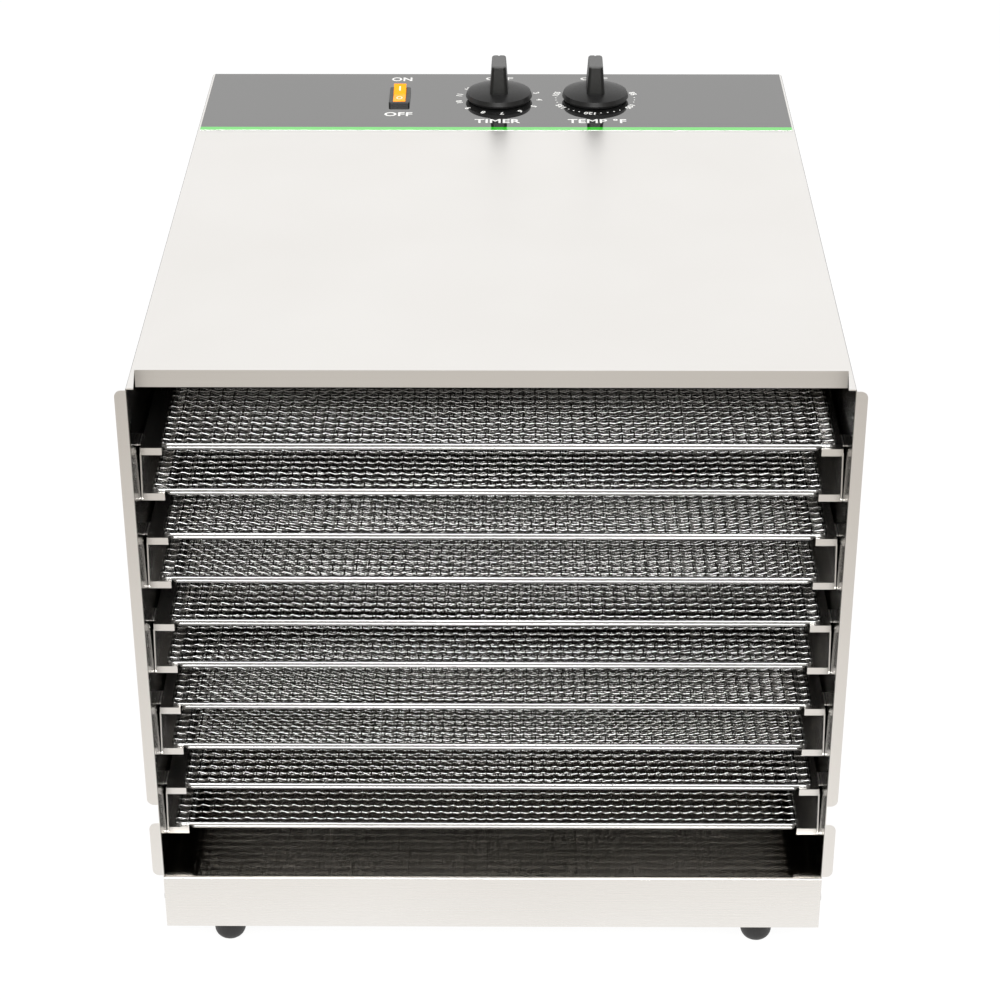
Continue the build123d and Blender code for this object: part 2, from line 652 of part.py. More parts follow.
def thermal_cutout():
    """A disc thermostat that cuts the heater off, fixed to the baffle above the fan."""
    y0 = BAFFLE_Y + BAFFLE_T
    radius, height = CUTOUT_DISC
    ear_x, ear_z, ear_t = CUTOUT_EARS
    disc = rod(radius, (CUTOUT_X, y0, CUTOUT_Z), (CUTOUT_X, y0 + height, CUTOUT_Z))
    ears = slab((CUTOUT_X - ear_x, CUTOUT_X + ear_x), (y0, y0 + ear_t), (CUTOUT_Z - ear_z, CUTOUT_Z + ear_z))
    return disc + ears


def wiring():
    """Insulated wires between the inlet, terminals, controls, motor and element."""
    block_y = BAFFLE_Y + BLOCK_SETBACK + BLOCK_SIZE[0] / 2
    block_z = BASE_Z + BASE_H + BLOCK_SIZE[1]
    inlet_back = REAR - PANEL_RECESS - INLET_BODY[2]
    body_floor = CEILING - CONTROL_BODY_H
    motor_y = STRAP_Y + STRAP_T + MOTOR_D / 2
    routes = (
        [(INLET_X - 7, inlet_back, INLET_Z), (INLET_X - 7, inlet_back - 12, INLET_Z),
         (118, block_y + 16, block_z + 24), (111, block_y, block_z + 16), (111, block_y, block_z)],
        [(INLET_X + 7, inlet_back, INLET_Z), (INLET_X + 7, inlet_back - 14, INLET_Z),
         (196, block_y + 10, INLET_Z + 60), (196, block_y, body_floor - 60),
         (THERMOSTAT_X + 10, CONTROL_Y, body_floor - 24), (THERMOSTAT_X + 10, CONTROL_Y, body_floor)],
        [(97, block_y, block_z), (97, block_y, block_z + 20), (60, motor_y + 10, FAN_Z - 70),
         (12, motor_y, FAN_Z - 62), (12, motor_y, FAN_Z - 41)],
        [(83, block_y, block_z), (83, block_y, block_z + 24), (120, motor_y + 4, FAN_Z - 60),
         (118, motor_y, FAN_Z + 60), (TIMER_X + 12, CONTROL_Y, body_floor - 26),
         (TIMER_X + 12, CONTROL_Y, body_floor)],
        [(ROCKER_X, ROCKER_Y, TOP_Z - ROCKER_BODY_H), (ROCKER_X, ROCKER_Y, TOP_Z - ROCKER_BODY_H - 22),
         (TIMER_X - 30, CONTROL_Y + 4, body_floor - 20), (TIMER_X - 12, CONTROL_Y, body_floor - 12),
         (TIMER_X - 12, CONTROL_Y, body_floor)],
    )
    return [wire(route, WIRE_R) for route in routes]


def wire(route, radius):
    """A round wire along straight runs joined by arcs as large as the runs allow."""
    points = [Vector(*point) for point in route]
    radii = []
    for before, here, after in zip(points, points[1:], points[2:]):
        turn = (here - before).get_angle(after - here)
        shorter = min((here - before).length, (after - here).length)
        radii.append(0.45 * shorter / math.tan(math.radians(turn) / 2))
    path = FilletPolyline(*[tuple(point) for point in points], radius=radii)
    section = Plane(origin=path @ 0, z_dir=path % 0) * Circle(radius)
    return sweep(section, path=path, transition=Transition.RIGHT)


# ---------------------------------------------------------------- controls

def rocker_cutout():
    """The rocker's opening in the top, as X and Y."""
    half_w, half_l = BUTTON_W / 2 + ROCKER_WALL[0], BUTTON_R + ROCKER_WALL[1]
    return (ROCKER_X - half_w, ROCKER_X + half_w), (ROCKER_Y - half_l, ROCKER_Y + half_l)


def control_overlay():
    """The printed film across the rear of the top, with openings for the controls."""
    edge = WALL - OVERLAY_EDGE - BEND_R
    film = slab((-edge, edge), (REAR - OVERLAY_D, REAR - OVERLAY_EDGE), (TOP_Z, OVERLAY_Z))
    for x in (TIMER_X, THERMOSTAT_X):
        film -= Pos(x, CONTROL_Y, TOP_Z) * Cylinder(BUSHING_R, 4)
    return film - slab(*rocker_cutout(), (TOP_Z - 1, TOP_Z + 2))


def rocker_pivot():
    """The button's axis, as Y and Z."""
    return ROCKER_Y, OVERLAY_Z + 0.4 - PIVOT_DROP


def rocker_housing():
    width, length, height = BEZEL_SIZE
    bezel_z = (OVERLAY_Z, OVERLAY_Z + height)
    x, y = ROCKER_X, ROCKER_Y
    bezel = slab((x - width / 2, x + width / 2), (y - length / 2, y + length / 2), bezel_z)
    bezel = fillet(bezel.edges().filter_by(Axis.Z), BEZEL_CORNER_R)
    bezel = fillet(bezel.faces().sort_by(Axis.Z)[-1].edges(), BEZEL_EDGE_R)
    (x0, x1), (y0, y1) = rocker_cutout()
    housing = bezel + slab((x0, x1), (y0, y1), (TOP_Z - ROCKER_BODY_H, OVERLAY_Z))
    well_x = (x - BUTTON_W / 2 - BUTTON_GAP, x + BUTTON_W / 2 + BUTTON_GAP)
    well_y = (y - BUTTON_R - BUTTON_GAP, y + BUTTON_R + BUTTON_GAP)
    housing -= slab(well_x, well_y, (TOP_Z - ROCKER_WELL_DEPTH, bezel_z[1] + 1))
    pivot_y, pivot_z = rocker_pivot()
    return housing - rod(PIVOT_R + 0.05, (x0 + 0.3, pivot_y, pivot_z), (x1 - 0.3, pivot_y, pivot_z))


def rocker_button():
    """A two-way rocker, resting with its front half pressed."""
    tip_z = PIVOT_DROP + BUTTON_CREST + BUTTON_TIP_Y * math.tan(math.radians(ROCKER_TILT))
    foot_y, foot_z = BUTTON_FOOT
    foot_z += PIVOT_DROP
    outline = Polyline((-BUTTON_TIP_Y, tip_z), (0, PIVOT_DROP + BUTTON_CREST), (BUTTON_TIP_Y, tip_z),
                       (foot_y, foot_z), (-foot_y, foot_z), close=True)
    plane = Plane(origin=(-BUTTON_W / 2, 0, 0), x_dir=(0, 1, 0), z_dir=(1, 0, 0))
    body = extrude(plane * make_face(outline), BUTTON_W)
    body = fillet(body.edges().filter_by(Axis.X).group_by(Axis.Z)[-1], BUTTON_EDGE_R)
    stub_x = BUTTON_W / 2 + PIVOT_STUB
    body += rod(PIVOT_R, (-stub_x, 0, 0), (stub_x, 0, 0))
    return Pos(ROCKER_X, *rocker_pivot()) * Rot(ROCKER_TILT, 0, 0) * body


def control_body(width, depth):
    """A control under the top, with a threaded bushing and a blind bore for its shaft."""
    bore_top, bore_h = SHAFT_BORE
    body = Pos(0, 0, CEILING - CONTROL_BODY_H / 2) * Box(width, depth, CONTROL_BODY_H)
    body = fillet(body.edges().filter_by(Axis.Z), BODY_CORNER_R)
    body += Pos(0, 0, CEILING + BUSHING_H / 2) * Cylinder(BUSHING_R - 0.05, BUSHING_H)
    return body - Pos(0, 0, OVERLAY_Z + bore_top - bore_h / 2) * Cylinder(SHAFT_BORE_R, bore_h)


def control_shaft():
    low, high = (OVERLAY_Z + end for end in SHAFT_ENDS)
    return Pos(0, 0, (low + high) / 2) * Cylinder(SHAFT_R, high - low)


def knob_skirt():
    """A shallow dome whose rim leans in above its widest circle."""
    with BuildSketch(Plane.XZ) as section:
        with BuildLine():
            Polyline((0, KNOB_GAP), (KNOB_R - KNOB_UNDERCUT, KNOB_GAP), (KNOB_R, KNOB_WIDEST_Z), KNOB_RIM)
            ThreePointArc(KNOB_RIM, (KNOB_SHOULDER_R, KNOB_DOME_Z - 0.7), (KNOB_HUB_R, KNOB_DOME_Z))
            Polyline((KNOB_HUB_R, KNOB_DOME_Z), (0, KNOB_DOME_Z), (0, KNOB_GAP))
        make_face()
    return revolve(section.sketch, Axis.Z)


def knob():
    """A domed skirt with a tapered grip bar, longer at the pointer end."""
    base = Plane.XY.offset(KNOB_RIM[1]) * Pos(0, GRIP_OFFSET - 0.2) * RectangleRounded(*GRIP_BASE)
    top = Plane.XY.offset(GRIP_TOP_Z) * Pos(0, GRIP_OFFSET + 0.2) * RectangleRounded(*GRIP_TOP)
    grip = loft([base, top])
    body = knob_skirt() + fillet(grip.faces().sort_by(Axis.Z)[-1].edges(), GRIP_EDGE_R)
    notch_w, notch_l = POINTER_NOTCH
    tip_y = GRIP_OFFSET + GRIP_TOP[1] / 2
    body -= Pos(0, tip_y, GRIP_TOP_Z) * Rot(0, 45, 0) * Box(notch_w, notch_l, notch_w)
    body -= Pos(0, 0, SHAFT_ENDS[1] / 2) * Cylinder(SHAFT_R, SHAFT_ENDS[1])
    return Pos(0, 0, OVERLAY_Z) * body


def thermostat_bulb():
    """The sensing bulb in the chamber and the capillary tube to the thermostat."""
    bulb = rod(BULB_R, (BULB_X[0], BULB_Y, BULB_Z), (BULB_X[1], BULB_Y, BULB_Z))
    bulb = fillet(bulb.edges(), 1.2)
    exit_x = BULB_X[1] + CAPILLARY_RUN
    path = FilletPolyline((BULB_X[1], BULB_Y, BULB_Z), (exit_x, BULB_Y, BULB_Z),
                          (exit_x, CONTROL_Y, BULB_Z), (THERMOSTAT_X + CAPILLARY_END, CONTROL_Y, BULB_Z),
                          radius=[3.0, 6.0])
    section = Plane(origin=path @ 0, z_dir=path % 0) * Circle(CAPILLARY_R)
    return bulb + sweep(section, path=path)


def main():
    os.makedirs("parts", exist_ok=True)
    save("outer_cover", outer_cover())
    save("base_pan", base_pan())
    save("floor_liner", floor_liner())
    save("rear_panel", rear_panel())
    save("feet", solids(Pos(x, y, 0) * foot() for x, y in foot_points()))
    save("foot_screws", solids(Pos(x, y, 0) * piece for x, y in foot_points() for piece in foot_screw()))
    save("side_screws", solids(side_screws()))
    save("base_rivets", solids(base_rivets()))
    for pair in range(TRAY_COUNT // 2):
        channel = rail(2 * pair)
        save(f"rail_right_{pair + 1}", channel)
        save(f"rail_left_{pair + 1}", mirrored(channel))
    for tray in range(TRAY_COUNT):
        save(f"tray_frame_{tray + 1:02d}", tray_frame(tray))
        save(f"tray_mesh_{tray + 1:02d}", tray_mesh(tray))
    save("fan_baffle", fan_baffle())
    save("fan_guard", fan_guard())
    save("fan_blade", fan_blade())
    save("fan_shaft", fan_shaft())
    save("fan_motor", fan_motor())
    save("motor_bracket", motor_bracket())
    save("heating_element", heating_element())
    save("element_clips", solids(element_clips()))
    save("power_inlet", power_inlet())
    save("terminal_block", terminal_block())
    save("thermal_cutout", thermal_cutout())
    save("wiring", solids(wiring()))
    save("control_overlay", control_overlay())
    save("rocker_housing", rocker_housing())
    save("rocker_button", rocker_button())
    save("timer_body", Pos(TIMER_X, CONTROL_Y, 0) * control_body(*TIMER_BODY))
    save("timer_shaft", Pos(TIMER_X, CONTROL_Y, 0) * control_shaft())
    save("timer_knob", Pos(TIMER_X, CONTROL_Y, 0) * knob())
    save("thermostat_body", Pos(THERMOSTAT_X, CONTROL_Y, 0) * control_body(*THERMOSTAT_BODY))
    save("thermostat_shaft", Pos(THERMOSTAT_X, CONTROL_Y, 0) * control_shaft())
    save("thermostat_knob", Pos(THERMOSTAT_X, CONTROL_Y, 0) * knob())
    save("thermostat_bulb", thermostat_bulb())


main()
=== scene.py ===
import math
import random

import bmesh
import bpy
import numpy as np
from mathutils import Matrix, Vector


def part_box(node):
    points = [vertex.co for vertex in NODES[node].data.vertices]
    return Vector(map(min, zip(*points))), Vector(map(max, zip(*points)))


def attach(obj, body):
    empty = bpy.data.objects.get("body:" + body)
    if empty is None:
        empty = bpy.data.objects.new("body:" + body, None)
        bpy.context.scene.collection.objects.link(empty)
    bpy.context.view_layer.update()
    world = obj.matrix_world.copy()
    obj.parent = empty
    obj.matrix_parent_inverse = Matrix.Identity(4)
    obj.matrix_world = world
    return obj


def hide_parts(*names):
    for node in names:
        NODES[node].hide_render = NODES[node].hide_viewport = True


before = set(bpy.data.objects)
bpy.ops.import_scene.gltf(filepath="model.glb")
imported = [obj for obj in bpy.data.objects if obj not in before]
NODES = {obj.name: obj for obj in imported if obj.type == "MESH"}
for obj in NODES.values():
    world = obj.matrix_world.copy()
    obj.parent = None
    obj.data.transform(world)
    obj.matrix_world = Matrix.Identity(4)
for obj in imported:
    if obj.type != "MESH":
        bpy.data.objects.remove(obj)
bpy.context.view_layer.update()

MM = 0.001
SEED = 11

cover_lo, cover_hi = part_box("outer_cover")
overlay_lo, overlay_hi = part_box("control_overlay")
pan_lo, pan_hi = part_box("base_pan")
FRONT = cover_lo.y
REAR = cover_hi.y
WALL = pan_hi.x
TOP = cover_hi.z
BASE = cover_lo.z
SHEET = 0.8 * MM
WALL_IN = WALL - SHEET
PRINT_Z = overlay_hi.z


# ---------------------------------------------------------------- small helpers

def collection_add(obj):
    bpy.context.scene.collection.objects.link(obj)
    return obj


def centre(node):
    low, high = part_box(node)
    return (low + high) / 2


def mesh_object(name, verts, faces, material, smooth=True):
    mesh = bpy.data.meshes.new(name)
    mesh.from_pydata(verts, [], faces)
    mesh.validate()
    mesh.polygons.foreach_set("use_smooth", [smooth] * len(mesh.polygons))
    mesh.materials.append(material)
    return collection_add(bpy.data.objects.new(name, mesh))


class Look:
    """A Principled material whose nodes are added by name."""

    def __init__(self, name, **sockets):
        self.material = bpy.data.materials.new(name)
        self.material.use_nodes = True
        self.tree = self.material.node_tree
        self.shader = self.tree.nodes["Principled BSDF"]
        for key, value in sockets.items():
            self.set(key.replace("_", " "), value)

    def set(self, socket, value):
        names = {name.name.lower(): name for name in self.shader.inputs}
        names[socket.lower()].default_value = value

    def add(self, kind, **values):
        node = self.tree.nodes.new(kind)
        for key, value in values.items():
            if key in node.inputs:
                node.inputs[key].default_value = value
            else:
                setattr(node, key, value)
        return node

    def link(self, source, target):
        self.tree.links.new(source, target)

    def math(self, operation, first, second=None):
        node = self.add("ShaderNodeMath", operation=operation)
        for index, value in enumerate((first, second)):
            if value is None:
                continue
            if isinstance(value, (int, float)):
                node.inputs[index].default_value = value
            else:
                self.link(value, node.inputs[index])
        return node.outputs[0]

    def place(self):
        """Object coordinates, which are the row's own metres, split into X, Y and Z."""
        coordinates = self.add("ShaderNodeTexCoord")
        split = self.add("ShaderNodeSeparateXYZ")
        self.link(coordinates.outputs["Object"], split.inputs[0])
        return coordinates.outputs["Object"], split

    def noise(self, stretch, detail=3.0, roughness=0.55):
        """Noise in the object's own metres, with its frequency along each axis in stretch."""
        coordinates, _ = self.place()
        mapping = self.add("ShaderNodeMapping")
        mapping.inputs["Scale"].default_value = stretch
        self.link(coordinates, mapping.inputs["Vector"])
        noise = self.add("ShaderNodeTexNoise", Scale=1.0, Detail=detail, Roughness=roughness)
        self.link(mapping.outputs[0], noise.inputs["Vector"])
        return noise.outputs["Fac"]

    def spread(self, value, low, high):
        """A 0 to 1 value mapped to the range from low to high."""
        node = self.add("ShaderNodeMapRange")
        node.inputs["From Min"].default_value = 0.3
        node.inputs["From Max"].default_value = 0.7
        node.inputs["To Min"].default_value = low
        node.inputs["To Max"].default_value = high
        self.link(value, node.inputs["Value"])
        return node.outputs[0]

    def falloff(self, value, start, end, last):
        """One up to the start, falling smoothly to the last value at the end."""
        node = self.add("ShaderNodeMapRange", interpolation_type="SMOOTHSTEP")
        for key, number in (("From Min", start), ("From Max", end), ("To Min", 1.0), ("To Max", last)):
            node.inputs[key].default_value = number
        self.link(value, node.inputs["Value"])
        return node.outputs[0]

    def blend_colours(self, factor, first, second):
        node = self.add("ShaderNodeMix", data_type="RGBA")
        self.link(factor, node.inputs["Factor"])
        for socket, value in ((node.inputs[6], first), (node.inputs[7], second)):
            if isinstance(value, tuple):
                socket.default_value = value
            else:
                self.link(value, socket)
        return node.outputs[2]

    def blend_values(self, factor, first, second):
        node = self.add("ShaderNodeMix", data_type="FLOAT")
        self.link(factor, node.inputs["Factor"])
        for socket, value in ((node.inputs[2], first), (node.inputs[3], second)):
            if isinstance(value, (int, float)):
                socket.default_value = value
            else:
                self.link(value, socket)
        return node.outputs[0]

    def bump(self, height, strength, distance):
        node = self.add("ShaderNodeBump")
        node.inputs["Strength"].default_value = strength
        node.inputs["Distance"].default_value = distance
        self.link(height, node.inputs["Height"])
        self.link(node.outputs[0], self.shader.inputs["Normal"])

    def colour(self, output):
        self.link(output, self.shader.inputs["Base Color"])

    def roughness(self, output):
        self.link(output, self.shader.inputs["Roughness"])


def paint(node, material):
    """A CAD node keeps its shape and takes a material in every slot."""
    slots = NODES[node].material_slots
    if not slots:
        NODES[node].data.materials.append(material)
    for each in slots:
        each.link = "OBJECT"
        each.material = material


# ---------------------------------------------------------------- materials

STEEL_COLOUR = (0.885, 0.870, 0.850, 1)
STEEL_SHADE = (0.860, 0.843, 0.820, 1)
# The chamber's inner steel colour, darkened as painted shade.
POLISHED_SHADED_COLOUR = (0.30, 0.295, 0.285, 1)
GRAIN_FINE = 2600.0
GRAIN_LONG = 9.0
LIP_BACK = 27 * MM
SKIN = 0.2 * MM


def steel(name, grain, colour=STEEL_COLOUR, shade=STEEL_SHADE, rough=(0.20, 0.30), depth=0.000006):
    """Satin stainless steel, with its grain drawn out along one axis (0 is X, 1 is Y, 2 is Z)."""
    look = Look(name, metallic=1.0)
    stretch = [GRAIN_FINE] * 3
    stretch[grain] = GRAIN_LONG
    lines = look.noise(tuple(stretch), detail=2.0)
    clouds = look.noise((7.0, 7.0, 7.0), detail=2.0)
    look.colour(look.blend_colours(look.spread(clouds, 0.0, 1.0), colour, shade))
    look.roughness(look.blend_values(lines, *rough))
    look.bump(lines, 1.0, depth)
    return look


def cover_steel():
    """The cover's sheet: satin outside, polished inside the chamber, where its colour is also darkened as painted
    shade.
    """
    look = steel("cover_steel", grain=0, rough=(0.27, 0.34), depth=0.00005)
    _, split = look.place()
    side = look.math("ABSOLUTE", split.outputs[0])
    under = look.math("LESS_THAN", split.outputs[2], TOP - SHEET / 2)
    wall = look.math("MULTIPLY", look.math("GREATER_THAN", side, WALL_IN - SKIN),
                     look.math("LESS_THAN", side, WALL - SHEET / 2))
    ceiling = look.math("MULTIPLY", look.math("GREATER_THAN", split.outputs[2], TOP - SHEET - SKIN),
                        look.math("GREATER_THAN", split.outputs[1], FRONT + LIP_BACK))
    inner = look.math("MULTIPLY", under, look.math("MAXIMUM", wall, ceiling))
    base = look.shader.inputs["Base Color"].links[0].from_socket
    rough = look.shader.inputs["Roughness"].links[0].from_socket
    # painted shade: the inner walls and ceiling take the darkened steel colour
    look.colour(look.blend_colours(inner, base, POLISHED_SHADED_COLOUR))
    look.roughness(look.blend_values(inner, rough, 0.03))
    return look.material


def floor_steel():
    """The chamber floor's polished sheet, its colour darkened as painted shade."""
    look = Look("floor_steel", metallic=1.0)
    clouds = look.noise((12.0, 12.0, 12.0))
    lines = look.noise((GRAIN_LONG, GRAIN_FINE, GRAIN_FINE), detail=2.0)
    # painted shade: dark base colours for the steel floor inside the chamber
    look.colour(look.blend_colours(look.spread(clouds, 0, 1), (0.30, 0.28, 0.255, 1), (0.25, 0.235, 0.21, 1)))
    look.roughness(look.blend_values(lines, 0.07, 0.14))
    return look.material


def chamber_dark(name, colour):
    """The chamber's rear wall sheet, darkened to near black as painted shade."""
    look = Look(name, metallic=0.8)
    clouds = look.noise((30.0, 30.0, 30.0))
    look.colour(look.blend_colours(clouds, colour, tuple(c * 0.6 for c in colour[:3]) + (1,)))
    look.roughness(look.spread(clouds, 0.30, 0.45))
    return look.material


def plated_wire(name, colour, rough):
    """Drawn and plated wire, with faint marks along it."""
    look = Look(name, metallic=1.0)
    specks = look.noise((900.0, 900.0, 900.0), detail=2.0)
    dim = tuple(channel * 0.9 for channel in colour[:3]) + (1,)
    look.colour(look.blend_colours(look.spread(specks, 0, 1), colour, dim))
    look.roughness(look.spread(specks, rough, rough + 0.06))
    look.bump(specks, 0.08, 0.00003)
    return look.material


def overlay_film():
    """Gloss black printed film."""
    look = Look("overlay_film", base_color=(0.012, 0.012, 0.012, 1), specular_ior_level=1.0, ior=2.1)
    ripple = look.noise((40.0, 40.0, 40.0), detail=1.0)
    look.roughness(look.spread(ripple, 0.03, 0.06))
    look.bump(ripple, 0.02, 0.0004)
    return look.material


def moulded(name, colour, rough, grain=900.0, depth=0.00003, **sockets):
    """A moulded plastic or rubber with a fine texture."""
    look = Look(name, **sockets)
    texture = look.noise((grain, grain, grain), detail=3.0)
    shade = tuple(channel * 0.75 for channel in colour[:3]) + (1,)
    look.colour(look.blend_colours(texture, colour, shade))
    look.roughness(look.spread(texture, rough - 0.04, rough + 0.06))
    look.bump(texture, 0.18, depth)
    return look.material


def print_ink(name, colour):
    look = Look(name, specular_ior_level=0.4)
    specks = look.noise((600.0, 600.0, 600.0))
    dim = tuple(channel * 0.93 for channel in colour[:3]) + (1,)
    look.colour(look.blend_colours(specks, colour, dim))
    look.roughness(look.spread(specks, 0.25, 0.35))
    return look.material


def amber_lens():
    """The rocker's amber plastic, lit a little from inside."""
    look = Look("rocker_amber", specular_ior_level=0.3, emission_strength=0.40)
    depth = look.noise((150.0, 150.0, 150.0))
    look.colour(look.blend_colours(depth, (1.0, 0.36, 0.005, 1), (0.95, 0.25, 0.002, 1)))
    look.set("emission color", (1.0, 0.34, 0.0, 1))
    look.roughness(look.spread(depth, 0.18, 0.28))
    return look.material


def knob_plastic():
    """Moulded black plastic, painted paler along the top of the grip as a painted highlight."""
    look = Look("knob_plastic", specular_ior_level=0.28)
    texture = look.noise((900.0, 900.0, 900.0))
    _, split = look.place()
    grip_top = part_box("timer_knob")[1].z
    # painted highlight: the base colour lightens towards the top of the grip
    grip_top_highlight = look.add("ShaderNodeMapRange")
    grip_top_highlight.inputs["From Min"].default_value = grip_top - 1.2 * MM
    grip_top_highlight.inputs["From Max"].default_value = grip_top - 0.1 * MM
    look.link(split.outputs[2], grip_top_highlight.inputs["Value"])
    black = look.blend_colours(texture, (0.013, 0.013, 0.013, 1), (0.009, 0.009, 0.009, 1))
    look.colour(look.blend_colours(grip_top_highlight.outputs[0], black, (0.11, 0.11, 0.11, 1)))
    look.roughness(look.spread(texture, 0.30, 0.42))
    look.bump(texture, 0.18, 0.00003)
    return look.material


def green_film():
    """Green print under the same gloss as the overlay."""
    look = Look("green_ink", specular_ior_level=1.0, ior=2.1)
    ripple = look.noise((40.0, 40.0, 40.0), detail=1.0)
    look.colour(look.blend_colours(ripple, (0.02, 0.60, 0.01, 1), (0.02, 0.55, 0.01, 1)))
    look.roughness(look.spread(ripple, 0.04, 0.08))
    return look.material


MATERIALS = {
    "cover": cover_steel(),
    "base": steel("base_steel", grain=0, rough=(0.22, 0.34)).material,
    "floor": floor_steel(),
    "rail": steel("rail_steel", grain=1, rough=(0.16, 0.26)).material,
    "panel": steel("panel_steel", grain=0, rough=(0.24, 0.36)).material,
    "fastener": steel("fastener_steel", grain=2, colour=(0.72, 0.72, 0.72, 1),
                      shade=(0.62, 0.62, 0.62, 1), rough=(0.22, 0.34)).material,
    # The rear wall's near-black colour is painted shade.
    "baffle": chamber_dark("baffle_steel", (0.05, 0.048, 0.045, 1)),
    "rod": plated_wire("tray_rod", (0.42, 0.42, 0.415, 1), 0.20),
    "weft": plated_wire("weft_wire", (0.42, 0.42, 0.415, 1), 0.12),
    # The warps are the same plated steel as the wefts, darkened as painted shade.
    "warp": plated_wire("warp_wire", (0.07, 0.068, 0.066, 1), 0.22),
    "film": overlay_film(),
    "knob": knob_plastic(),
    "bezel": moulded("bezel_plastic", (0.02, 0.02, 0.021, 1), 0.30),
    "rubber": moulded("rubber_black", (0.022, 0.022, 0.023, 1), 0.50, grain=500.0, depth=0.00005),
    "black": moulded("moulded_black", (0.03, 0.03, 0.03, 1), 0.42),
    "cream": moulded("terminal_plastic", (0.72, 0.69, 0.60, 1), 0.45),
    "insulation": moulded("wire_insulation", (0.45, 0.03, 0.025, 1), 0.40),
    "iron": moulded("motor_iron", (0.10, 0.10, 0.11, 1), 0.45, metallic=0.9),
    "sheath": moulded("element_sheath", (0.09, 0.08, 0.075, 1), 0.50, metallic=0.9),
    "fan": steel("fan_aluminium", grain=0, colour=(0.74, 0.75, 0.76, 1),
                 shade=(0.66, 0.67, 0.68, 1), rough=(0.28, 0.40)).material,
    "amber": amber_lens(),
    "white_ink": print_ink("white_ink", (0.92, 0.92, 0.90, 1)),
    "green_ink": green_film(),
    "mark_ink": print_ink("mark_ink", (1.0, 0.93, 0.70, 1)),
}


def paint_cad():
    """Every CAD node takes a material; the nodes not named here are fasteners and shafts."""
    named = {
        "outer_cover": "cover", "base_pan": "base", "floor_liner": "floor", "rear_panel": "panel",
        "fan_baffle": "baffle", "motor_bracket": "panel", "feet": "rubber", "fan_guard": "rod",
        "fan_blade": "fan", "fan_motor": "iron", "heating_element": "sheath",
        "power_inlet": "black", "terminal_block": "cream", "thermal_cutout": "black",
        "wiring": "insulation", "control_overlay": "film", "rocker_housing": "bezel",
        "rocker_button": "amber", "timer_body": "cream", "timer_knob": "knob",
        "thermostat_body": "black", "thermostat_knob": "knob",
    }
    for node in NODES:
        if node.startswith("rail_"):
            paint(node, MATERIALS["rail"])
        elif node.startswith("tray_frame"):
            paint(node, MATERIALS["rod"])
        elif node.startswith("tray_mesh"):
            paint(node, MATERIALS["weft"])
        else:
            paint(node, MATERIALS[named.get(node, "fastener")])


# ---------------------------------------------------------------- woven screens

WARP_R = 0.45 * MM
WEFT_R = 0.60 * MM
WARP_PITCH = 7.58 * MM
WEFT_PITCH = 7.2 * MM
WEFT_ALTERNATE = 0.30 * MM
WEFT_CRIMP = 0.50 * MM
WARP_ALTERNATE = 0.72 * MM
WARP_LIFT = 0.50 * MM
STEPS_PER_PITCH = 4
END_GAP_STEPS = 0.4
EDGE_PITCHES = 0.8
WIRE_SIDES = 6
RING_CORNER_R = 3.8 * MM
WIRE_OVERHANG = 0.7 * MM
SCREEN_LIFT = 0.35 * MM
SAG = 0.7 * MM
KNOT_R = 0.75 * MM
KNOT_LIFT = 0.10 * MM
KNOT_SHAPE = (1.0, 1.15, 0.85, 1.0)
DRIFT = 0.12 * MM


def tubes(name, paths, radius, sides, material):
    """One mesh of round tubes along rows of points. Each path is an N by 3 array."""
    verts, faces, count = [], [], 0
    turn = np.linspace(0, 2 * np.pi, sides, endpoint=False)
    for path in paths:
        tangent = np.gradient(path, axis=0)
        tangent /= np.linalg.norm(tangent, axis=1)[:, None]
        across = np.cross(tangent, np.array([0.0, 0.0, 1.0]))
        across /= np.linalg.norm(across, axis=1)[:, None]
        up = np.cross(across, tangent)
        ring = across[:, None, :] * np.cos(turn)[None, :, None] + up[:, None, :] * np.sin(turn)[None, :, None]
        verts.append((path[:, None, :] + radius * ring).reshape(-1, 3))
        steps = len(path)
        start = count + np.arange(steps - 1)[:, None] * sides
        here = start + np.arange(sides)[None, :]
        after = start + (np.arange(sides)[None, :] + 1) % sides
        faces.append(np.stack([here, after, after + sides, here + sides], axis=-1).reshape(-1, 4))
        for ring_start, order in ((count, -1), (count + (steps - 1) * sides, 1)):
            cap = ring_start + np.arange(sides)[::order]
            faces.append([[cap[0], cap[1], cap[2], cap[3]], [cap[0], cap[3], cap[4], cap[5]]])
        count += steps * sides
    corners = np.concatenate([np.asarray(each) for each in faces])
    points = np.concatenate(verts)
    mesh = bpy.data.meshes.new(name)
    mesh.vertices.add(len(points))
    mesh.vertices.foreach_set("co", points.ravel())
    mesh.loops.add(corners.size)
    mesh.loops.foreach_set("vertex_index", corners.ravel())
    mesh.polygons.add(len(corners))
    mesh.polygons.foreach_set("loop_start", np.arange(len(corners)) * 4)
    mesh.polygons.foreach_set("use_smooth", np.ones(len(corners), dtype=bool))
    mesh.update(calc_edges=True)
    mesh.validate()
    mesh.materials.append(material)
    return mesh


def reach(offset, half_along, half_across):
    """How far from the middle a wire meets the ring, when it lies offset from the centre line."""
    past = abs(offset) - (half_across - RING_CORNER_R)
    if past <= 0:
        return half_along
    return half_along - RING_CORNER_R + math.sqrt(max(RING_CORNER_R ** 2 - past ** 2, 0.0))


def wire_line(offset, half, along, pitch, crossing_pitch, rule):
    """The centre line of one wire. along is 0 for a wire along X and 1 for one along Y."""
    step = crossing_pitch / STEPS_PER_PITCH
    inner = np.arange(-math.floor(half / step), math.floor(half / step) + 1) * step
    run = np.concatenate([[-half], inner[np.abs(inner) < half - step * END_GAP_STEPS], [half]])
    points = np.zeros((len(run), 3))
    points[:, along] = run
    points[:, 1 - along] = offset
    edge = np.clip((half - np.abs(run)) / (EDGE_PITCHES * crossing_pitch), 0.0, 1.0)
    points[:, 2] = rule(run) * edge
    return points


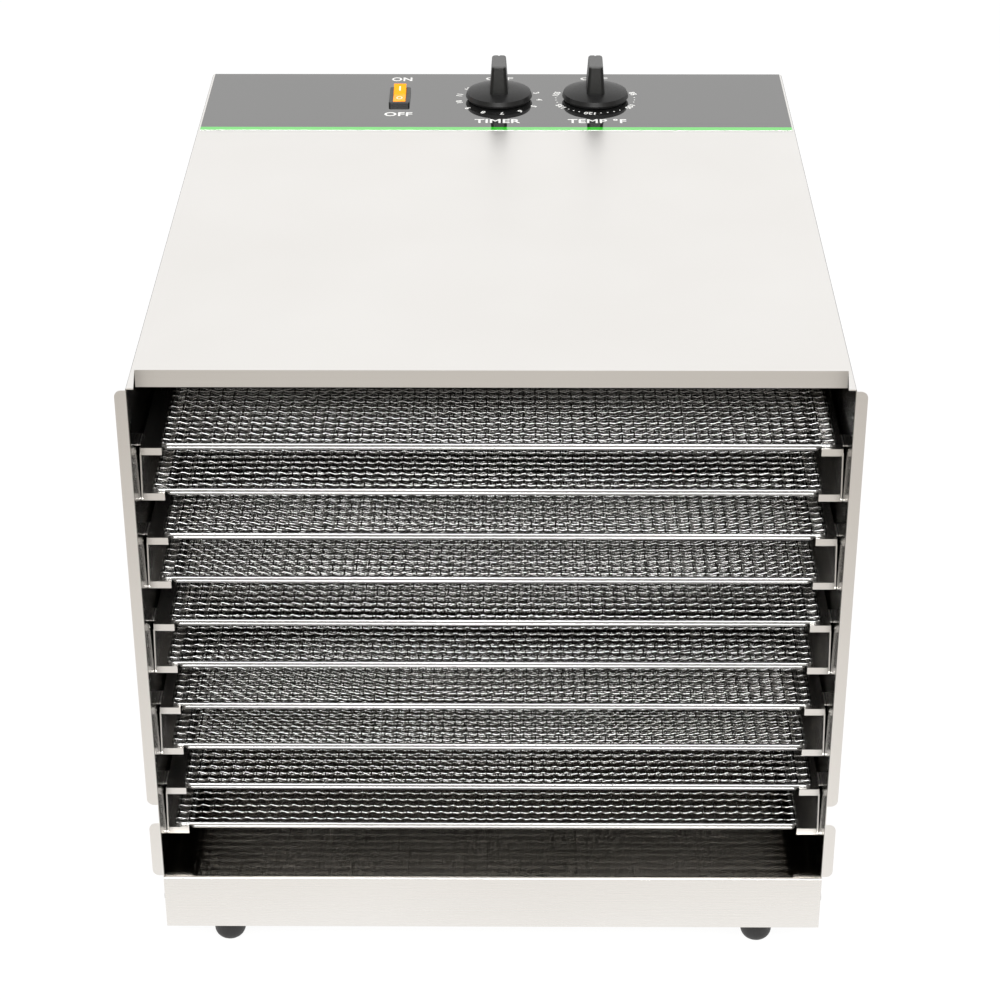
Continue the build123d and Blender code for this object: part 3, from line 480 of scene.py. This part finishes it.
def screen_sag(points, half_x, half_y, phases):
    """Adds the slack of a screen that is only held at its rim."""
    u, v = points[:, 0] / half_x, points[:, 1] / half_y
    rim = np.clip((1 - u ** 2) * (1 - v ** 2) * 6, 0, 1)
    wave = np.sin(2.3 * u + phases[0]) * np.cos(1.9 * v + phases[1]) + 0.5 * np.sin(5.1 * u + phases[2])
    points[:, 2] += rim * SAG * 0.5 * wave
    points[:, 1] += rim * DRIFT * np.sin(4.0 * u + phases[1])
    points[:, 0] += rim * DRIFT * np.sin(4.4 * v + phases[2])
    return points


def woven_screen(name, half_x, half_y, seed):
    """Warp and weft meshes of one crimped screen, centred on the origin."""
    chance = random.Random(seed)
    phases = [chance.uniform(0, 2 * math.pi) for _ in range(3)]
    warp_count = int(half_x // WARP_PITCH)
    weft_count = int(half_y // WEFT_PITCH)
    warps, wefts = [], []
    for row in range(-weft_count, weft_count + 1):
        y = row * WEFT_PITCH
        sign = 1 if row % 2 else -1

        def weft_rule(x, sign=sign):
            turn = np.pi * x / WARP_PITCH
            return sign * WEFT_ALTERNATE * np.cos(turn) + WEFT_CRIMP * np.cos(2 * turn)

        half = reach(y, half_x, half_y) + WIRE_OVERHANG
        line = wire_line(y, half, 0, WEFT_PITCH, WARP_PITCH, weft_rule)
        wefts.append(screen_sag(line, half_x, half_y, phases))
    for column in range(-warp_count, warp_count + 1):
        x = column * WARP_PITCH
        sign = 1 if column % 2 else -1

        def warp_rule(y, sign=sign):
            return WARP_LIFT - sign * WARP_ALTERNATE * np.cos(np.pi * y / WEFT_PITCH)

        half = reach(x, half_y, half_x) + WIRE_OVERHANG
        line = wire_line(x, half, 1, WARP_PITCH, WEFT_PITCH, warp_rule)
        warps.append(screen_sag(line, half_x, half_y, phases))
    knots = [(column * WARP_PITCH, end * (half_y + WIRE_OVERHANG), KNOT_LIFT)
             for column in range(-warp_count, warp_count + 1) for end in (-1, 1)]
    return (tubes(name + "_warp", warps, WARP_R, WIRE_SIDES, MATERIALS["warp"]),
            tubes(name + "_weft", wefts, WEFT_R, WIRE_SIDES, MATERIALS["weft"]),
            beads(name + "_knots", knots, KNOT_R, MATERIALS["weft"]))


def beads(name, points, radius, material):
    """Small welded beads, flattened a little, as one mesh."""
    build = bmesh.new()
    shape = Matrix.Diagonal(KNOT_SHAPE)
    for point in points:
        at = Matrix.Translation(point) @ shape
        bmesh.ops.create_icosphere(build, subdivisions=2, radius=radius, matrix=at)
    mesh = bpy.data.meshes.new(name)
    build.to_mesh(mesh)
    build.free()
    mesh.polygons.foreach_set("use_smooth", [True] * len(mesh.polygons))
    mesh.materials.append(material)
    return mesh


def trays():
    """A woven screen for every tray, from three kinds of screen turned both ways."""
    low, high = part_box("tray_mesh_01")
    half_x, half_y = (high.x - low.x) / 2, (high.y - low.y) / 2
    kinds = [woven_screen(f"screen_{letter}", half_x, half_y, SEED + index)
             for index, letter in enumerate("abc")]
    for number in range(1, 11):
        low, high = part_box(f"tray_mesh_{number:02d}")
        middle = (low + high) / 2
        at = Matrix.Translation((middle.x, middle.y, low.z + SCREEN_LIFT))
        if number % 2:
            at = at @ Matrix.Rotation(math.pi, 4, "Z")
        for mesh, part in zip(kinds[number % 3], ("warp", "weft", "knots")):
            piece = collection_add(bpy.data.objects.new(f"tray_{number:02d}_{part}", mesh))
            piece.matrix_world = at
            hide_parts(f"tray_mesh_{number:02d}")
            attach(piece, f"tray_{number:02d}")


# ---------------------------------------------------------------- print on the overlay

PRINT_T = 0.03 * MM
CAP_SHARE = 0.70
LABEL_CAP = 7.2 * MM
DIGIT_CAP = 4.3 * MM
DIAL_R = 30.0 * MM
DIAL_BACK = 1.6 * MM
STRIPE_D = 5.8 * MM
LABEL_BACK = 97.5 * MM
SWITCH_ON_BACK = 12.0 * MM
SWITCH_OFF_BACK = 84.0 * MM
DIAL_OFF_BACK = 10.5 * MM
DIAL_OFF_CAP = 5.4 * MM
LABEL_WIDEN = 1.12
ON_WIDEN = 0.96
DIAL_OFF_WIDEN = 1.5
TIMER_LABEL_SHIFT = 1.0 * MM
LABEL_SHIFT = 0.4 * MM
DIGIT_WEIGHT = 0.05
HOURS = 12
HOUR_STEP = 27.0
TEMPERATURES = ((70, "85"), (122, "105"), (188, "120"), (238, "135"), (288, "155"))
DOT_ANGLES = (45, 54, 86, 95, 104, 143, 153, 163, 173, 205, 214, 223, 255, 264, 273)
DOT_INSET = 0.6 * MM
DOT_R = 0.62 * MM


def lettering(name, text, cap, at, turn=0.0, widen=1.0, weight=0.03):
    """Flat printed letters, cap high, centred on a point and turned about it."""
    curve = bpy.data.curves.new(name, "FONT")
    curve.body = text
    curve.size = cap / CAP_SHARE
    curve.align_x = "CENTER"
    curve.align_y = "CENTER"
    curve.extrude = PRINT_T / 2
    curve.offset = weight * cap
    curve.resolution_u = 3
    curve.space_character = 1.06
    source = bpy.data.objects.new(name + "_curve", curve)
    mesh = bpy.data.meshes.new_from_object(source)
    bpy.data.objects.remove(source)
    mesh.name = name
    mesh.materials.clear()
    mesh.materials.append(MATERIALS["white_ink"])
    piece = collection_add(bpy.data.objects.new(name, mesh))
    widened = Matrix.Diagonal((widen, 1, 1, 1))
    mesh.transform(Matrix.Translation(at) @ Matrix.Rotation(turn, 4, "Z") @ widened)
    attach(piece, "cabinet")


def dial_spot(at, angle, radius):
    """A point on a dial, with the angle clockwise from the rear."""
    turn = math.radians(angle)
    x = at.x + radius * math.sin(turn)
    y = at.y + DIAL_BACK + radius * math.cos(turn)
    return Vector((x, y, PRINT_Z + PRINT_T / 2))


def dots(name, at, angles, radius, size):
    """Small round printed dots on a dial."""
    build = bmesh.new()
    for angle in angles:
        spot = dial_spot(at, angle, radius)
        bmesh.ops.create_cone(build, cap_ends=True, segments=12, radius1=size, radius2=size,
                              depth=PRINT_T, matrix=Matrix.Translation(spot))
    mesh = bpy.data.meshes.new(name)
    build.to_mesh(mesh)
    build.free()
    mesh.materials.append(MATERIALS["white_ink"])
    piece = collection_add(bpy.data.objects.new(name, mesh))
    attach(piece, "cabinet")


def printed_panel():
    """The generic words and numbers round the switch and the two dials."""
    timer = centre("timer_shaft")
    stat = centre("thermostat_shaft")
    rocker = centre("rocker_housing")
    level = PRINT_Z + PRINT_T / 2
    label_y = REAR - LABEL_BACK
    lettering("label_timer", "TIMER", LABEL_CAP, (timer.x - TIMER_LABEL_SHIFT, label_y, level), widen=LABEL_WIDEN)
    lettering("label_temp", "TEMP °F", LABEL_CAP, (stat.x + LABEL_SHIFT, label_y, level), widen=LABEL_WIDEN)
    lettering("label_on", "ON", LABEL_CAP, (rocker.x + LABEL_SHIFT, REAR - SWITCH_ON_BACK, level), widen=ON_WIDEN)
    lettering("label_off", "OFF", LABEL_CAP, (rocker.x, REAR - SWITCH_OFF_BACK, level), widen=LABEL_WIDEN)
    for name, spot in (("timer", timer), ("temp", stat)):
        lettering(f"dial_{name}_off", "OFF", DIAL_OFF_CAP, (spot.x, REAR - DIAL_OFF_BACK, level),
                  widen=DIAL_OFF_WIDEN)
    for hour in range(1, HOURS + 1):
        angle = HOUR_STEP * (hour - 0.5)
        lettering(f"dial_hour_{hour:02d}", str(hour), DIGIT_CAP, dial_spot(timer, angle, DIAL_R),
                  turn=-math.radians(angle), weight=DIGIT_WEIGHT)
    for angle, text in TEMPERATURES:
        lettering(f"dial_temp_{text}", text, DIGIT_CAP, dial_spot(stat, angle, DIAL_R),
                  turn=-math.radians(angle), weight=DIGIT_WEIGHT)
    dots("dial_temp_dots", stat, DOT_ANGLES, DIAL_R - DOT_INSET, DOT_R)


def edge_stripe():
    """The green printed stripe along the film's front edge."""
    low, high = overlay_lo, overlay_hi
    x0, x1 = low.x, high.x
    y0, y1 = low.y, low.y + STRIPE_D
    z0, z1 = PRINT_Z, PRINT_Z + PRINT_T
    verts = [(x, y, z) for z in (z0, z1) for y in (y0, y1) for x in (x0, x1)]
    faces = [(0, 2, 3, 1), (4, 5, 7, 6), (0, 1, 5, 4), (2, 6, 7, 3), (0, 4, 6, 2), (1, 3, 7, 5)]
    piece = mesh_object("overlay_stripe", verts, faces, MATERIALS["green_ink"], smooth=False)
    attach(piece, "cabinet")


BAR_HALF = (0.55 * MM, 2.5 * MM)
RING_OUTER = (2.3 * MM, 2.9 * MM)
RING_INNER = (1.5 * MM, 2.1 * MM)
RING_STEPS = 32
BAR_BACK = 6.0 * MM
RING_AHEAD = 7.0 * MM


def on_surface(node, x, y):
    """The point and the turn that lay a flat mark on a node's top at one place."""
    obj = NODES[node]
    start = obj.matrix_world.inverted() @ Vector((x, y, 1.0))
    hit, spot, normal, _ = obj.ray_cast(start, Vector((0, 0, -1)))
    if not hit:
        raise ValueError(f"{node} has no top at that place")
    turn = normal.to_track_quat("Z", "Y").to_matrix().to_4x4()
    return Matrix.Translation(obj.matrix_world @ spot + normal * PRINT_T / 2) @ turn


def flat_mark(name, node, x, y, outer, inner=None):
    """A printed bar, or a ring when it has an inner outline too, riding on the rocker."""
    build = bmesh.new()
    loops = [outer] if inner is None else [outer, inner]
    at = on_surface(node, x, y)
    levels = []
    for z in (-PRINT_T / 2, PRINT_T / 2):
        levels.append([[build.verts.new((px, py, z)) for px, py in loop] for loop in loops])
    low, high = levels
    if inner is None:
        build.faces.new(low[0][::-1])
        build.faces.new(high[0])
    count = len(outer)
    for index in range(count):
        after = (index + 1) % count
        for bottom, top, order in zip(low, high, (1, -1)):
            build.faces.new([bottom[index], bottom[after], top[after], top[index]][::order])
        if inner is not None:
            build.faces.new([high[0][index], high[0][after], high[1][after], high[1][index]])
            build.faces.new([low[0][index], low[1][index], low[1][after], low[0][after]])
    mesh = bpy.data.meshes.new(name)
    build.to_mesh(mesh)
    build.free()
    mesh.transform(at)
    mesh.materials.append(MATERIALS["mark_ink"])
    piece = collection_add(bpy.data.objects.new(name, mesh))
    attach(piece, "rocker")


def rocker_marks():
    """The bar on the half that switches on and the ring on the half that switches off."""
    low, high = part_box("rocker_button")
    x = (low.x + high.x) / 2
    middle_y = (low.y + high.y) / 2
    bar_w, bar_l = BAR_HALF
    bar = [(-bar_w, -bar_l), (bar_w, -bar_l), (bar_w, bar_l), (-bar_w, bar_l)]
    turns = [2 * math.pi * step / RING_STEPS for step in range(RING_STEPS)]
    outer, inner = ([(rx * math.cos(turn), ry * math.sin(turn)) for turn in turns]
                    for rx, ry in (RING_OUTER, RING_INNER))
    flat_mark("rocker_mark_on", "rocker_button", x, middle_y + BAR_BACK, bar)
    flat_mark("rocker_mark_off", "rocker_button", x, middle_y - RING_AHEAD, outer, inner)


# ---------------------------------------------------------------- stage, light and camera

CAMERA_OFFSET = Vector((15.2 * MM, -1406.6 * MM, 1125.4 * MM))
CAMERA_PITCH = 29.58
CAMERA_YAW = 0.40
CAMERA_ROLL = -0.09
CAMERA_LENS = 96.08
SENSOR_W = 36.0
FLOOR_HALF = 6.0
FLOOR_WHITE = (0.93, 0.93, 0.93, 1)
FLOOR_FADE = (FRONT - 1.4, FRONT + 0.1)
FLOOR_STOPS = ((0.40, (0.42, 0.38, 0.33, 1)), (0.87, (0.78, 0.76, 0.73, 1)))
FLOOR_FAR = (0.26, 0.24, 0.21, 1)
SIDE_FADE = (0.3, 1.2, 0.60)
REAR_FADE = (REAR + 0.1, REAR + 1.0, 0.65)
ROOM_WHITE = (1.0, 0.995, 0.985, 1)
ROOM_DIM = (0.27, 0.245, 0.21, 1)
ROOM_SEEN = (0.98, 0.98, 0.98, 1)
LOW_BAND = (0.30, 0.80)
FRONT_BAND = (-0.45, -0.05)
OVERHEAD_BAND = (0.70, 0.95)
OVERHEAD_LEVEL = 0.82
FRONT_BOX_AT = (0, FRONT - 1.5, 1.75)
FRONT_BOX_AIM = (0, FRONT, 0.25)
FRONT_BOX_SIZE = (1.3, 0.8)
FRONT_BOX_POWER = 50


def camera():
    """The photo's camera: a long lens, looking down from ahead."""
    data = bpy.data.cameras.new("camera")
    data.lens = CAMERA_LENS
    data.sensor_width = SENSOR_W
    data.clip_end = 50.0
    obj = collection_add(bpy.data.objects.new("camera", data))
    obj.location = Vector((0, FRONT, BASE)) + CAMERA_OFFSET
    turns = ((CAMERA_YAW, "Z"), (90 - CAMERA_PITCH, "X"), (CAMERA_ROLL, "Z"))
    turn = Matrix.Identity(4)
    for degrees, axis in turns:
        turn = turn @ Matrix.Rotation(math.radians(degrees), 4, axis)
    obj.rotation_euler = turn.to_euler()
    bpy.context.scene.camera = obj


def floor():
    """A white floor. In reflections it fades to dim beige ahead, and darkens to the sides and rear."""
    half = FLOOR_HALF
    verts = [(-half, -half, 0), (half, -half, 0), (half, half, 0), (-half, half, 0)]
    look = Look("stage_floor", specular_ior_level=0.0)
    grain = look.noise((3.0, 3.0, 3.0))
    look.colour(look.blend_colours(grain, (0.10, 0.10, 0.10, 1), (0.09, 0.09, 0.09, 1)))
    look.roughness(look.spread(grain, 0.85, 0.95))
    _, split = look.place()
    ahead = look.add("ShaderNodeMapRange")
    for key, value in zip(("From Min", "From Max", "To Min", "To Max"), (*FLOOR_FADE, 0.0, 1.0)):
        ahead.inputs[key].default_value = value
    look.link(split.outputs[1], ahead.inputs["Value"])
    ramp = look.add("ShaderNodeValToRGB")
    look.link(ahead.outputs[0], ramp.inputs[0])
    stops = ramp.color_ramp.elements
    stops[0].position, stops[0].color = 0.0, FLOOR_FAR
    stops[1].position, stops[1].color = 1.0, FLOOR_WHITE
    for position, colour in FLOOR_STOPS:
        stop = stops.new(position)
        stop.color = colour
    fade = look.math("MULTIPLY", look.falloff(look.math("ABSOLUTE", split.outputs[0]), *SIDE_FADE),
                     look.falloff(split.outputs[1], *REAR_FADE))
    room = look.blend_colours(fade, (0.0, 0.0, 0.0, 1), ramp.outputs[0])
    path = look.add("ShaderNodeLightPath")
    glow = look.blend_colours(path.outputs["Is Camera Ray"], room, FLOOR_WHITE)
    look.link(glow, look.shader.inputs["Emission Color"])
    look.set("emission strength", 1.0)
    plane = mesh_object("stage_floor", verts, [(0, 1, 2, 3)], look.material, smooth=False)


def softbox(name, at, aim, size, power):
    data = bpy.data.lights.new(name, "AREA")
    data.shape = "RECTANGLE"
    data.size, data.size_y = size
    data.energy = power
    obj = collection_add(bpy.data.objects.new(name, data))
    obj.location = at
    direction = Vector(aim) - Vector(at)
    obj.rotation_euler = direction.to_track_quat("-Z", "Y").to_euler()


def world_light():
    """A room that reflections see as white, dim low down ahead and a little dim overhead."""
    world = bpy.data.worlds.new("world")
    bpy.context.scene.world = world
    world.use_nodes = True
    tree = world.node_tree
    background = tree.nodes["Background"]
    coordinates = tree.nodes.new("ShaderNodeTexCoord")
    split = tree.nodes.new("ShaderNodeSeparateXYZ")
    tree.links.new(coordinates.outputs["Generated"], split.inputs[0])

    def between(socket, low, high, first, last):
        node = tree.nodes.new("ShaderNodeMapRange")
        node.interpolation_type = "SMOOTHSTEP"
        for key, value in (("From Min", low), ("From Max", high), ("To Min", first), ("To Max", last)):
            node.inputs[key].default_value = value
        tree.links.new(socket, node.inputs["Value"])
        return node.outputs[0]

    low_down = between(split.outputs[2], *LOW_BAND, 1.0, 0.0)
    to_front = between(split.outputs[1], *FRONT_BAND, 1.0, 0.0)
    dim = tree.nodes.new("ShaderNodeMath")
    dim.operation = "MULTIPLY"
    tree.links.new(low_down, dim.inputs[0])
    tree.links.new(to_front, dim.inputs[1])
    mix = tree.nodes.new("ShaderNodeMix")
    mix.data_type = "RGBA"
    tree.links.new(dim.outputs[0], mix.inputs["Factor"])
    mix.inputs[6].default_value = ROOM_WHITE
    mix.inputs[7].default_value = ROOM_DIM
    overhead = tree.nodes.new("ShaderNodeVectorMath")
    overhead.operation = "SCALE"
    tree.links.new(mix.outputs[2], overhead.inputs[0])
    level = between(split.outputs[2], *OVERHEAD_BAND, 1.0, OVERHEAD_LEVEL)
    tree.links.new(level, overhead.inputs["Scale"])
    path = tree.nodes.new("ShaderNodeLightPath")
    seen = tree.nodes.new("ShaderNodeMix")
    seen.data_type = "RGBA"
    tree.links.new(path.outputs["Is Camera Ray"], seen.inputs["Factor"])
    tree.links.new(overhead.outputs[0], seen.inputs[6])
    seen.inputs[7].default_value = ROOM_SEEN
    tree.links.new(seen.outputs[2], background.inputs["Color"])
    background.inputs["Strength"].default_value = 1.0


def lighting():
    world_light()
    softbox("softbox_front", FRONT_BOX_AT, FRONT_BOX_AIM, FRONT_BOX_SIZE, FRONT_BOX_POWER)
    bpy.context.scene.view_settings.view_transform = "Standard"


# ---------------------------------------------------------------- the scene

camera()
floor()
lighting()
paint_cad()
trays()
edge_stripe()
printed_panel()
rocker_marks()
